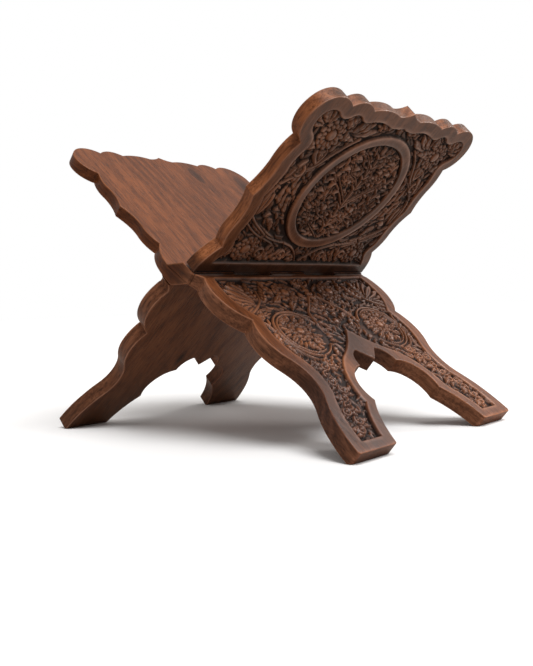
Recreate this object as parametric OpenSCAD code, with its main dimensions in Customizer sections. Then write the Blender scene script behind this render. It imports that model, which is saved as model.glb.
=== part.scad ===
// Folding carved book stand of the rehal type: one plank split into two boards that cross like an X
// and turn on interlocking wooden knuckles, with no pin.
// Hinge axis along Y, X across the opening, Z up, origin on the floor under the middle of the hinge.

/* [View] */
// Which piece to draw

/* [Plank] */
// Width of the plank across the hinge band, mm
hinge_width = 202; // [190:1:216]
// Thickness of the whole plank before it is split in two, mm
plank_thickness = 20; // [18:0.5:24]
// Width of the saw cut that splits the plank, mm
saw_kerf = 0.4; // [0.3:0.1:0.8]

/* [Opening] */
// Angle of each board from the upright when the stand is open, degrees
half_angle = 49.3; // [44:0.1:52]
// Width of the flat worn on the under edge of each foot, mm
foot_flat = 4; // [2:0.5:6]

/* [Leaves] */
// Height of the pointed top centre of a leaf above the hinge axis, mm
leaf_peak = 165.6; // [160:0.2:172]
// Radius of the round lobe at each top corner, mm
corner_lobe_radius = 19.7; // [17:0.1:21]

/* [Legs] */
// Length of the legs from the hinge axis to the foot, mm
leg_length = 184; // [180:0.5:190]
// Distance from the hinge axis to the tip of the pendant between the legs, mm
pendant_tip = 113; // [108:0.2:117]
// How much thicker the legs are than the leaves, on their outer side, mm
leg_extra = 2.2; // [0:0.1:3]

/* [Hinge] */
// Clearance between neighbouring knuckles, mm
knuckle_side_gap = 0.4; // [0.3:0.1:1]
// Clearance left at the opening stop, mm
stop_gap = 0.2; // [0.1:0.05:0.5]
// Clearance between a knuckle and the leaf ends it turns past, mm
swing_gap = 0.4; // [0.3:0.1:1]

/* [Carving] */
// Depth of the carved ground below the raised border, mm
ground_depth = 2.0; // [1:0.1:3]
// Outer diameter of the medallion ring on a leaf, mm
medallion_diameter = 107; // [96:1:110]
// Width of the medallion ring, mm
medallion_ring = 8.5; // [6:0.5:11]
// Diameter of the flower bosses in the corners of a leaf, mm
flower_diameter = 25; // [20:1:28]
// Petals on each flower boss
flower_petals = 12; // [8:1:16]

/* [Hidden] */
$fn = 96;
hinge_half = hinge_width / 2;
outer_face = plank_thickness / 2;
inner_face = saw_kerf / 2;
leg_face = outer_face + leg_extra;
// distance from the hinge axis to the square-cut ends, set so that an end meets the
// outer face of the other board's legs when the stand is open
end_cut = outer_face * tan(half_angle) + stop_gap;
knuckle_reach = end_cut - swing_gap;
// how far the sharp under corner of a foot is planed away to leave the flat
foot_cut = foot_flat / (tan(half_angle) + 1 / tan(half_angle));
hinge_height = leg_length * cos(half_angle) - inner_face * sin(half_angle) - foot_cut;
// five equal knuckles across the hinge: odd ones on the left-leaf board, even on the right
knuckle_count = 5;
knuckle_pitch = hinge_width / knuckle_count;
root_overlap = 1;
cut_margin = 1;
// length of the steps that the outline arcs are drawn in
arc_step = 2.5;
board_brown = [0.36, 0.21, 0.13];

// top corner lobe of a leaf
lobe_u = 79.3;
lobe_s = leaf_peak - corner_lobe_radius - 1.6;
// foot of a leg
foot_out = 100.8;
foot_in = 59.5;
foot_round = 3.5;
// scale and centre used to draw the carved field inside the outline of a leaf
field_scale = 0.9;
field_centre = 88;
leaf_field_start = 22;
leg_field_start = 20.5;
// the legs' outer side slopes from the thickness of the leaves to its own between these
leg_slope_start = end_cut + root_overlap;
leg_slope_end = leg_field_start - 0.6;
// carved features of a leaf
medallion_s = 92;
flower_u = 64;
flower_low_s = 36;
flower_high_s = 134;
// how high a flower's button and petals stand, as shares of the depth of the ground
button_rise = 0.8;
petal_rise = 0.5;
// radius of the button as a share of the flower's, and width of a petal as a share of its length
button_share = 0.36;
petal_share = 0.5;
// teardrop medallion at the top of each leg
leg_medallion_u = 51;
leg_medallion_s = 78;
leg_medallion_radius = 21;
leg_medallion_ring = 3;
leg_boss_radius = 14;
leg_boss_top = 9.8;

// Right half of the leaf outline, hinge to peak: [across, up from the axis, bow].
// The bow is how far the edge to the next point arcs out from the straight line; minus is inwards.
leaf_half = [
    [hinge_half, end_cut, 2.2],
    [90.4, 36.6, 1.6],
    [92.6, 57, -2.0],
    [96.6, 82.4, -1.2],
    [92.2, 105, 1.7],
    [lobe_u + 9.6, lobe_s - 17.2, corner_lobe_radius + 1.8],
    [lobe_u - 12.5, lobe_s + 15.2, 4.4],
    [43.4, leaf_peak - 5.4, 2.4],
    [13.2, leaf_peak - 4.6, -1.0],
    [0, leaf_peak, 0]
];

// Right half of the leg outline, hinge to foot and back up the inside to the pendant.
leg_half = [
    [hinge_half, end_cut, -0.6],
    [96.6, 19, 8.7],
    [87.8, 64.4, 5.2],
    [86.8, 102.5, -5.2],
    [86.2, 138.5, 3.0],
    [foot_out, leg_length - foot_round, 1],
    [foot_out - foot_round, leg_length, 0],
    [foot_in + foot_round, leg_length, 1],
    [foot_in, leg_length - foot_round, -2.6],
    [42.2, 148.4, -9.2],
    [23.2, 117, -3.2],
    [12, 102, 0],
    [0, pendant_tip, 0]
];

// Right half of the sunk field on the legs.
leg_field_half = [
    [87.5, leg_field_start, 6.8],
    [78, 63, 4.2],
    [76.5, 101.2, -4.4],
    [76, 138, 2.6],
    [88.8, 175, 0],
    [69, 175, -2.2],
    [53.5, 148.2, -5.6],
    [33, 107, 2.2],
    [0, 80.4, 0]
];

// Both halves of a symmetric outline, anticlockwise, from its right half.
function both_halves(half) = let (n = len(half) - 1) concat(
    [for (i = [0:n - 1]) half[i]],
    [[half[n][0], half[n][1], half[n - 1][2]]],
    [for (i = [n - 1:-1:1]) [-half[i][0], half[i][1], half[i - 1][2]]],
    [[-half[0][0], half[0][1], 0]]
);

// Points from a up to, but not at, b along an arc that leaves the straight line by h: to the right
// of a-to-b when h is above 0, to the left below it.
function arc_points(a, b, h) = h == 0 ? [a] : let (
    run = norm(b - a),
    along = (b - a) / run,
    outward = [along[1], -along[0]] * sign(h),
    rise = abs(h),
    radius = (run * run / 4 + rise * rise) / (2 * rise),
    centre = (a + b) / 2 + outward * (rise - radius),
    sweep = 2 * atan(2 * rise / run),
    steps = ceil(2 * sweep * PI / 180 * radius / arc_step)
) [for (i = [0:steps - 1]) let (turn = sweep * (2 * i / steps - 1))
    centre + radius * (cos(turn) * outward + sin(turn) * along)];

// Outline through [x, y, bow] corners given anticlockwise.
module bowed_outline(corners) {
    count = len(corners);
    function spot(i) = [corners[i % count][0], corners[i % count][1]];
    polygon([for (i = [0:count - 1]) each arc_points(spot(i), spot(i + 1), corners[i][2])]);
}

module leaf_prism(height) {
    linear_extrude(height) bowed_outline(both_halves(leaf_half));
}

module leg_prism(height) {
    linear_extrude(height) bowed_outline(both_halves(leg_half));
}

// Sunk field of a leaf, without the hinge-side strip that stays plain.
module leaf_field(height) {
    intersection() {
        translate([0, field_centre]) scale(field_scale) translate([0, -field_centre])
            leaf_prism(height / field_scale);
        translate([-hinge_width, leaf_field_start, -cut_margin])
            cube([2 * hinge_width, leaf_peak, height + 2 * cut_margin]);
    }
}

module leg_field(height) {
    linear_extrude(height) bowed_outline(both_halves(leg_field_half));
}

// One pointed petal, its root at the origin and its tip along +Y.
module petal(reach) {
    half_width = reach * petal_share / 2;
    radius = (reach * reach / 4 + half_width * half_width) / (2 * half_width);
    intersection() {
        translate([radius - half_width, reach / 2]) circle(r = radius);
        translate([half_width - radius, reach / 2]) circle(r = radius);
    }
}

// Flower boss: a ring of petals around a round button.
module flower() {
    reach = flower_diameter / 2;
    for (i = [0:flower_petals - 1]) rotate(i * 360 / flower_petals)
        linear_extrude(root_overlap + ground_depth * petal_rise) petal(reach);
    cylinder(r = reach * button_share, h = root_overlap + ground_depth * button_rise);
}

// Ring that stands as high as the border.
module ring(radius, width) {
    rise = root_overlap + ground_depth;
    difference() {
        cylinder(r = radius, h = rise);
        translate([0, 0, -cut_margin]) cylinder(r = radius - width, h = rise + 2 * cut_margin);
    }
}

// What stands up out of the ground on a leaf.
module leaf_relief() {
    translate([0, medallion_s]) ring(medallion_diameter / 2, medallion_ring);
    for (side = [-1, 1]) {
        translate([side * flower_u, flower_low_s]) flower();
        translate([side * flower_u, flower_high_s]) flower();
    }
}

// What stands up out of the ground on the legs: a ring around a low boss on each.
module leg_relief() {
    for (side = [-1, 1]) translate([side * leg_medallion_u, leg_medallion_s]) {
        ring(leg_medallion_radius, leg_medallion_ring);
        cylinder(r1 = leg_boss_radius, r2 = leg_boss_top, h = root_overlap + ground_depth);
    }
}

// What is cut from the legs' outer side to slope it down to the leaves' thickness at the hinge.
module leg_slope() {
    leaf_slab = outer_face - inner_face;
    leg_slab = leg_face - inner_face;
    translate([-hinge_width, 0, 0]) rotate([90, 0, 90]) linear_extrude(2 * hinge_width) polygon([
        [0, leaf_slab],
        [leg_slope_start, leaf_slab],
        [leg_slope_end, leg_slab],
        [leg_slope_end, leg_slab + cut_margin],
        [0, leg_slab + cut_margin]
    ]);
}

// Slab of wood with a sunk field on its outer side. Outline in X and Y, outer side up.
module carved_slab(kind) {
    slab = (kind == "leaf" ? outer_face : leg_face) - inner_face;
    difference() {
        if (kind == "leaf") leaf_prism(slab);
        else leg_prism(slab);
        if (kind == "leg") leg_slope();
        translate([0, 0, slab - ground_depth]) {
            if (kind == "leaf") leaf_field(ground_depth + cut_margin);
            else leg_field(ground_depth + cut_margin);
        }
    }
    translate([0, 0, slab - ground_depth - root_overlap]) {
        if (kind == "leaf") leaf_relief();
        else leg_relief();
    }
}

// Section of a knuckle across the hinge axis. It joins the leaf on the -X side to the legs on the
// +X side, with the two free corners cut away so that it can turn.
module knuckle_section() {
    polygon([
        [-outer_face, end_cut + root_overlap],
        [-outer_face, 0],
        [inner_face, -knuckle_reach],
        [inner_face, -end_cut - root_overlap],
        [outer_face, -end_cut - root_overlap],
        [outer_face, 0],
        [-inner_face, knuckle_reach],
        [-inner_face, end_cut + root_overlap]
    ]);
}

// Knuckle number k, counted from 0 at the -Y end.
module knuckle(k) {
    near_gap = k == 0 ? 0 : knuckle_side_gap / 2;
    far_gap = k == knuckle_count - 1 ? 0 : knuckle_side_gap / 2;
    translate([0, -hinge_half + (k + 1) * knuckle_pitch - far_gap, 0]) rotate([90, 0, 0])
        linear_extrude(knuckle_pitch - near_gap - far_gap) knuckle_section();
}

// A board standing upright with its leaf on the -X side and its legs on the +X side of the axis.
module upright_board(knuckles) {
    rotate([90, 0, -90]) translate([0, 0, inner_face]) carved_slab("leaf");
    rotate([-90, 0, -90]) translate([0, 0, inner_face]) carved_slab("leg");
    for (k = knuckles) knuckle(k);
}

// Planes the feet level with the floor.
module level_feet() {
    reach = 2 * leg_length;
    difference() {
        translate([0, 0, hinge_height]) children();
        translate([-reach, -reach, -2 * foot_cut]) cube([2 * reach, 2 * reach, 2 * foot_cut]);
    }
}

// Board whose leaf leans to -X and whose legs stand to +X.
module left_leaf_board() {
    color(board_brown) level_feet() rotate([0, -half_angle, 0]) upright_board([0, 2, 4]);
}

// Board whose leaf leans to +X and whose legs stand to -X.
module right_leaf_board() {
    color(board_brown) level_feet() rotate([0, half_angle, 0]) mirror([1, 0, 0])
        upright_board([1, 3]);
}

left_leaf_board();
right_leaf_board();
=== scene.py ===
"""Folding carved book stand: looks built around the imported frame.

Each board is one leaf, one pair of legs and its knuckles. A board is described upright, in
millimetres: u across the plank, s along it from the hinge axis, h from its middle to a face.
"""

import math

import bmesh
import bpy
import numpy as np
from mathutils import Matrix, Vector
from mathutils.geometry import delaunay_2d_cdt


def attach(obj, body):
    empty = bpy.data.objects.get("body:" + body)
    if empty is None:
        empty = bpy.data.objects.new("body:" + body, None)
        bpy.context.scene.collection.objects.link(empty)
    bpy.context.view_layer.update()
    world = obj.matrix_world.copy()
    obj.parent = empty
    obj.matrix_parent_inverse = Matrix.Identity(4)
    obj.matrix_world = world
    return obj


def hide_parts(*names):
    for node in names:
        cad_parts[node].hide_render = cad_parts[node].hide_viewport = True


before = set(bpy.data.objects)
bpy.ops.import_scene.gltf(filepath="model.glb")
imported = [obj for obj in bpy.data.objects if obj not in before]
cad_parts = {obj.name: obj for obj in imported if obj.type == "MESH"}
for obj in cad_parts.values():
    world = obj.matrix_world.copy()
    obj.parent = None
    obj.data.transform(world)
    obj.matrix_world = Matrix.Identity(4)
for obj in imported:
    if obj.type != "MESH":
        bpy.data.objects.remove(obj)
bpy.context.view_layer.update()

MM = 0.001

# ---- sizes, mm
HALF_ANGLE = math.radians(49.3)
HINGE_HALF = 101.0
OUTER = 10.0
INNER = 0.2
LEG_FACE = 12.2
END_CUT = OUTER * math.tan(HALF_ANGLE) + 0.2
KNUCKLE_REACH = END_CUT - 0.4
LEG_LENGTH = 184.0
FOOT_FLAT = 4.0
FOOT_CUT = FOOT_FLAT / (math.tan(HALF_ANGLE) + 1 / math.tan(HALF_ANGLE))
HINGE_HEIGHT = LEG_LENGTH * math.cos(HALF_ANGLE) - INNER * math.sin(HALF_ANGLE) - FOOT_CUT
KNUCKLES = 5
KNUCKLE_PITCH = 2 * HINGE_HALF / KNUCKLES
SIDE_GAP = 0.4

# by (legs, right-leaf board): how far an end stands back from the knuckles, and how wide a
# line of painted shade the seam gets
SEAMS = {
    (False, False): (0.7, 0.8),
    (False, True): (0.7, 0.8),
    (True, False): (1.9, 1.8),
    (True, True): (0.0, 0),
}
SEAM_BLEND = 4.5
SEAM_SHADE_SOFTNESS = 1.2

GRID_STEP = 0.62
OUTLINE_STEP = 0.62
RING_OFFSETS = (0.1, 0.28, 0.55, 1.0)
GRID_MARGIN = 1.6
BACK_STEP = 7.0
BACK_MARGIN = 2.5
ARRIS = 0.6
ARRIS_UNEVEN = 0.35
# share and reach of the painted highlight, with wear, along the arrises
ARRIS_WEAR_AND_HIGHLIGHT = 0.7
ARRIS_HIGHLIGHT_REACH = 0.85
WALL_RING = 0.4
# width of the painted highlight, with wear, at the knuckles' end corners
WORN_HIGHLIT_EDGE = 1.2
FOOT_CREASE = 0.2
FLOOR_DROP = 0.2

GROUND_DEPTH = 3.0
GROUND_UNEVEN = 0.05
FACE_UNEVEN = 0.05
BLUR_NODES = 3
# how far below or above the blurred surface hollows get full painted shade and crests a full painted
# highlight with wear
CAVITY_DEPTH = 0.8
WEAR_AND_HIGHLIGHT_HEIGHT = 0.7
LEG_FIELD_TOP = 19.9
LEAF_BORDER = 9.4
LEAF_FIELD_FOOT = 20.9

LOBE_U, LOBE_S, LOBE_R = 79.3, 144.3, 19.7
LEAF_HALF = [
    (HINGE_HALF, END_CUT, 2.2), (90.4, 36.6, 1.6), (92.6, 57, -2.0), (96.6, 82.4, -1.2),
    (92.2, 105, 1.7), (LOBE_U + 9.6, LOBE_S - 17.2, LOBE_R + 1.8), (LOBE_U - 12.5, LOBE_S + 15.2, 4.4),
    (43.4, 160.2, 2.4), (13.2, 161, -1.0), (0, 165.6, 0),
]
LEG_HALF = [
    (HINGE_HALF, END_CUT, -0.6), (96.6, 19, 8.7), (87.8, 64.4, 5.2), (86.8, 102.5, -5.2),
    (86.2, 138.5, 3.0), (100.6, 182, 0.5), (98.6, 184, 0), (61.4, 184, 0.5), (59.5, 182, -2.6),
    (42.2, 148.4, -9.2), (23.2, 117, -3.2), (12, 102, 0), (0, 113, 0),
]
LEG_FIELD_HALF = [
    (87.8, 19.6, 6.8), (77.6, 62.4, 4.2), (76.3, 101.2, -4.4), (75.8, 138, 2.6), (89.3, 176, 0),
    (67.5, 176, -2.2), (52, 148.2, -5.6), (32, 107, 2.2), (0, 80.4, 0),
]


# ---- outlines
def arc_points(a, b, bow, step):
    """Points from a up to, but not at, b along an arc that stands bow away from the chord."""
    a, b = np.array(a, float), np.array(b, float)
    run = np.linalg.norm(b - a)
    if bow == 0:
        count = max(1, math.ceil(run / step))
        return [a + (b - a) * i / count for i in range(count)]
    along = (b - a) / run
    outward = np.array([along[1], -along[0]]) * np.sign(bow)
    rise = abs(bow)
    radius = (run * run / 4 + rise * rise) / (2 * rise)
    centre = (a + b) / 2 + outward * (rise - radius)
    sweep = 2 * math.atan(2 * rise / run)
    count = math.ceil(2 * sweep * radius / step)
    turns = [sweep * (2 * i / count - 1) for i in range(count)]
    return [centre + radius * (math.cos(t) * outward + math.sin(t) * along) for t in turns]


def closed_outline(half, step=OUTLINE_STEP):
    """Dense anticlockwise outline of a shape that is the same left and right."""
    n = len(half) - 1
    full = [*half[:n], (*half[n][:2], half[n - 1][2])]
    full += [(-half[i][0], half[i][1], half[i - 1][2]) for i in range(n - 1, 0, -1)]
    full += [(-half[0][0], half[0][1], 0)]
    points = []
    for i, corner in enumerate(full):
        nxt = full[(i + 1) % len(full)]
        points += arc_points(corner[:2], nxt[:2], corner[2], step)
    return np.array(points)


def in_chunks(points, size, measure):
    """measure of every point, taken over size points at a time."""
    return np.concatenate([measure(points[i : i + size]) for i in range(0, len(points), size)])


def point_distance(points, targets):
    """Distance from each point to the nearest target."""

    def nearest(p):
        d2 = (p**2).sum(1)[:, None] + (targets**2).sum(1) - 2 * p @ targets.T
        return np.sqrt(np.maximum(d2.min(1), 0))

    return in_chunks(points, 20000, nearest)


def edge_distance(points, poly):
    """Distance from each point to a closed polygon's edges."""
    ab = np.roll(poly, -1, axis=0) - poly
    length2 = np.maximum((ab**2).sum(1), 1e-12)

    def nearest(p):
        ap = p[:, None] - poly
        t = np.clip((ap * ab).sum(2) / length2, 0, 1)
        return np.sqrt(((ap - t[..., None] * ab) ** 2).sum(2).min(1))

    return in_chunks(points, 4000, nearest)


def is_inside(points, poly):
    x0, y0 = poly.T
    x1, y1 = np.roll(poly, -1, axis=0).T
    slope = (x1 - x0) / np.where(y1 == y0, 1e-9, y1 - y0)

    def crossed_oddly(p):
        x, y = p[:, :1], p[:, 1:]
        crosses = ((y0 > y) != (y1 > y)) & (x < x0 + (y - y0) * slope)
        return crosses.sum(1) % 2 == 1

    return in_chunks(points, 20000, crossed_oddly)


def smooth(x):
    x = np.clip(x, 0, 1)
    return x * x * (3 - 2 * x)


def toward(angle):
    return np.array([math.cos(angle), math.sin(angle)])


def soft_noise(points, cell, seed):
    """Smooth noise between -1 and 1 with features about cell mm wide."""
    rng = np.random.default_rng(seed)
    table = rng.uniform(-1, 1, (64, 64))
    q = points / cell + 1000
    i = np.floor(q).astype(int)
    f = smooth(q - i)
    a, b = i % 64, (i + 1) % 64
    low = table[a[:, 0], a[:, 1]] * (1 - f[:, 0]) + table[b[:, 0], a[:, 1]] * f[:, 0]
    high = table[a[:, 0], b[:, 1]] * (1 - f[:, 0]) + table[b[:, 0], b[:, 1]] * f[:, 0]
    return low * (1 - f[:, 1]) + high * f[:, 1]


# ---- carving
SCROLL_STEPS, SCROLL_SWEEP = 22, math.radians(400)


class Relief:
    """Height of the carving above its ground, 0 to 1, on a square grid over one face."""

    def __init__(self, us, ss):
        self.us, self.ss = us, ss
        self.u, self.s = np.meshgrid(us, ss, indexing="ij")
        self.h = np.zeros_like(self.u)

    def window(self, points, reach):
        points = np.atleast_2d(points)
        low, high = points.min(0) - reach, points.max(0) + reach
        i0, i1 = np.searchsorted(self.us, (low[0], high[0]))
        j0, j1 = np.searchsorted(self.ss, (low[1], high[1]))
        return slice(i0, max(i1, i0 + 1)), slice(j0, max(j1, j0 + 1))

    def stamp(self, win, depth_in, height, moat=0.9):
        """Lays a shape over what is there. depth_in is mm inside its edge, below 0 outside."""
        under = self.h[win] * smooth(-depth_in / moat)
        self.h[win] = np.where(depth_in > 0, height, under)

    def leaf(self, root, tip, width, bend=0.0, rise=1.0, tilt=0.0, veins=0, lobes=0, fat=0.75):
        """Pointed leaf with a midrib groove. fat under 1 puts the widest part near the root."""
        root, tip = np.array(root, float), np.array(tip, float)
        length = np.linalg.norm(tip - root)
        if length < 0.5:
            return
        ax = (tip - root) / length
        win = self.window([root, tip], width / 2 + abs(bend) * length + 1.5)
        du, ds = self.u[win] - root[0], self.s[win] - root[1]
        x = (du * ax[0] + ds * ax[1]) / length
        xc = np.clip(x, 0, 1)
        y = ds * ax[0] - du * ax[1] - bend * length * 4 * xc * (1 - xc)
        half = width / 2 * np.sin(math.pi * xc**fat) ** 0.8
        if lobes:
            half = half * (0.7 + 0.3 * np.abs(np.sin(math.pi * lobes * xc)))
        over = np.abs(x - xc) * length
        depth_in = np.where(over > 0, -np.hypot(over, y), half - np.abs(y))
        w = np.clip(np.abs(y) / np.maximum(half, 0.05), 0, 1)
        thin = width < 3.6
        height = rise * (1 - 0.5 * w ** (1.4 if thin else 2.4)) * (0.72 + 0.28 * smooth(xc * 5))
        groove = 0.34 * np.exp(-((y / max(0.5, width * 0.07)) ** 2)) * (1 - xc) ** 0.4
        if thin:
            groove = np.zeros_like(height)
        if veins:
            wave = 0.5 + 0.5 * np.cos(math.tau * (xc * veins - w * 0.7))
            groove = groove + 0.3 * wave**2 * smooth(w * 4) * (1 - 0.4 * xc)
        height = (height - groove * rise) * (1 + tilt * y / max(width, 1))
        self.stamp(win, depth_in, np.clip(height, 0.05, 1.05), 0.55 if thin else 0.9)

    def stem(self, points, width, rise=0.9, taper=0.4):
        """Rounded stem along a smooth line through the points."""
        line = spline(points)
        win = self.window(line, width + 1.5)
        u, s = self.u[win], self.s[win]
        depth_in = np.full(u.shape, -9.0)
        share = np.zeros(u.shape)
        last = len(line) - 1
        for i in range(last):
            a, b = line[i], line[i + 1]
            ab = b - a
            t = np.clip(((u - a[0]) * ab[0] + (s - a[1]) * ab[1]) / max(ab @ ab, 1e-9), 0, 1)
            d = np.hypot(u - a[0] - t * ab[0], s - a[1] - t * ab[1])
            half = width / 2 * (1 - taper * (i + t) / last)
            better = half - d > depth_in
            share = np.where(better, d / half, share)
            depth_in = np.where(better, half - d, depth_in)
        height = rise * (0.55 + 0.45 * np.sqrt(np.clip(1 - share**2, 0, 1)))
        self.stamp(win, depth_in, height, 0.8)

    def disc(self, centre, radius):
        """The window around a disc, and its distances from the centre."""
        win = self.window([centre], radius + 1.5)
        return win, np.hypot(self.u[win] - centre[0], self.s[win] - centre[1])

    def dome(self, centre, radius, rise=1.0, dimple=0.0):
        win, d = self.disc(centre, radius)
        height = rise * np.sqrt(np.clip(1 - (d / radius * 0.85) ** 2, 0, 1))
        height = height - dimple * np.exp(-((d / (radius * 0.4)) ** 2))
        self.stamp(win, radius - d, height)

    def scroll(self, start, heading, radius, turn, width=2.0, rise=0.95, bead=1.5):
        """Spiral tendril that ends in a bead. turn is 1 anticlockwise, -1 clockwise."""
        steps, sweep = SCROLL_STEPS, SCROLL_SWEEP
        point = np.array(start, float)
        points = [point]
        for i in range(steps):
            share = i / steps
            r = radius * (1 - 0.72 * share)
            heading += turn * sweep / steps
            point = point + toward(heading) * r * sweep / steps
            points.append(point)
        self.stem(points, width, rise, 0.35)
        self.dome(points[-1], bead, rise)

    def flower(self, centre, radius, petals=13, rise=1.0, start=0.0):
        """Daisy head: two rows of round-tipped petals and a dimpled button."""
        centre = np.array(centre, float)
        win, d = self.disc(centre, radius)
        self.stamp(win, radius * 0.98 - d, np.full(d.shape, 0.12), 1.0)
        for row, (inner, outer, lift) in enumerate(((0.42, 1.0, 0.74), (0.3, 0.74, 0.9))):
            for i in range(petals):
                a = start + math.tau * (i + 0.5 * row) / petals
                way = toward(a)
                wide = math.tau * outer * radius / petals * 0.98
                root, tip = centre + way * inner * radius, centre + way * outer * radius
                self.leaf(root, tip, wide, rise=rise * lift, fat=1.7)
        self.dome(centre, radius * 0.36, 1.12 * rise, 0.1)

    def fan(self, root, aim, reach, spread, lobes, rise=1.0):
        """Shell of round-tipped lobes that open from one root."""
        root = np.array(root, float)
        for i in np.argsort(-np.abs(np.linspace(-1, 1, lobes))):
            share = -1 + 2 * i / (lobes - 1)
            a = aim + share * spread / 2
            far = reach * (1 - 0.22 * share * share)
            tip = root + toward(a) * far
            wide = far * spread / lobes * 1.15
            self.leaf(root, tip, wide, bend=0.06 * share, rise=rise, fat=1.45)

    def spray(self, points, leaf_length, leaf_width, gap, width=1.3, rise=0.9):
        """Stem with leaves to both sides and one at its end."""
        line = spline(points)
        run = np.concatenate([[0], np.cumsum(np.linalg.norm(np.diff(line, axis=0), axis=1))])
        side, at = 1, gap * 0.7
        todo = []
        while at < run[-1]:
            i = min(np.searchsorted(run, at), len(line) - 1)
            way = line[i] - line[i - 1]
            heading = math.atan2(way[1], way[0]) + side * 0.85
            size = 1 - 0.35 * at / run[-1]
            tip = line[i] + leaf_length * size * toward(heading)
            todo.append((line[i], tip, leaf_width * size, side * -0.12))
            side, at = -side, at + gap
        for root, tip, wide, bend in todo:
            self.leaf(root, tip, wide, bend=bend, rise=rise, tilt=0.25)
        self.stem(points, width, rise, 0.5)
        way = line[-1] - line[-3]
        way = way / max(np.linalg.norm(way), 1e-6)
        self.leaf(line[-1], line[-1] + way * leaf_length, leaf_width, rise=rise)


class Half:
    """One half of a relief. On side -1, the left, places, angles, bends and turns are mirrored."""

    def __init__(self, relief, side):
        self.relief, self.side = relief, side

    def at(self, point):
        return np.array([self.side * point[0], point[1]], float)

    def line(self, points):
        return [self.at(point) for point in points]

    def angle(self, degrees):
        return math.radians(degrees if self.side > 0 else 180 - degrees)

    def leaf(self, root, tip, width, bend=0.0, *form, **named):
        self.relief.leaf(self.at(root), self.at(tip), width, bend * self.side, *form, **named)

    def leaves(self, rows, *form, **named):
        """Leaves of one form. Each row is a root and a tip: u, s, u, s."""
        for u, s, v, w in rows:
            self.leaf((u, s), (v, w), *form, **named)

    def stem(self, points, *form):
        self.relief.stem(self.line(points), *form)

    def spray(self, points, *form):
        self.relief.spray(self.line(points), *form)

    def scroll(self, start, degrees, radius, turn, *form):
        self.relief.scroll(self.at(start), self.angle(degrees), radius, turn * self.side, *form)

    def fan(self, root, degrees, *form):
        self.relief.fan(self.at(root), self.angle(degrees), *form)

    def flower(self, centre, *form):
        self.relief.flower(self.at(centre), *form)

    def dome(self, centre, *form):
        self.relief.dome(self.at(centre), *form)


def spline(points, per=6):
    """Smooth line through the points."""
    p = np.array(points, float)
    if len(p) > 12:
        return p
    p = np.vstack([2 * p[0] - p[1], p, 2 * p[-1] - p[-2]])
    line = []
    for a, b, c, d in zip(p, p[1:], p[2:], p[3:]):
        for k in range(per):
            t = k / per
            curve = 2 * b + (c - a) * t + (2 * a - 5 * b + 4 * c - d) * t * t
            line.append(0.5 * (curve + (3 * b - a - 3 * c + d) * t**3))
    line.append(p[-2])
    return np.array(line)


def scatter(rng, centre, reach, spacing, keep, tries=30):
    """Random points within reach of centre, with u above 0 and at least spacing apart."""
    points = []
    count = int(reach[0] * reach[1] * 4 / spacing**2 * tries / 8)
    for p in rng.uniform(-1, 1, (count, 2)) * np.array(reach) + np.array(centre):
        if p[0] < 0.6 or not keep(p):
            continue
        if all((p[0] - q[0]) ** 2 + (p[1] - q[1]) ** 2 > spacing**2 for q in points):
            points.append(p)
    return points


def fill(relief, rng, points, flow, length, width, rise):
    """Small leaves at the points and at their mirror images."""
    for p in points:
        a = flow(p) + rng.normal(0, 0.45)
        size = rng.uniform(0.75, 1.3)
        bend, tilt = rng.uniform(-0.3, 0.3), rng.uniform(-0.4, 0.4)
        lift = rise * rng.uniform(0.62, 1.15)
        way = toward(a) * length * size / 2
        for side in (1, -1):
            jitter = rng.normal(0, 0.25, 2)
            flip = np.array([side, 1])
            root, tip = (p - way) * flip + jitter, (p + way) * flip + jitter
            relief.leaf(root, tip, width * size, bend * side, lift, tilt * side)


MEDALLION_S, MEDALLION_R, MEDALLION_IN = 92.0, 53.5, 45.0


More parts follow.
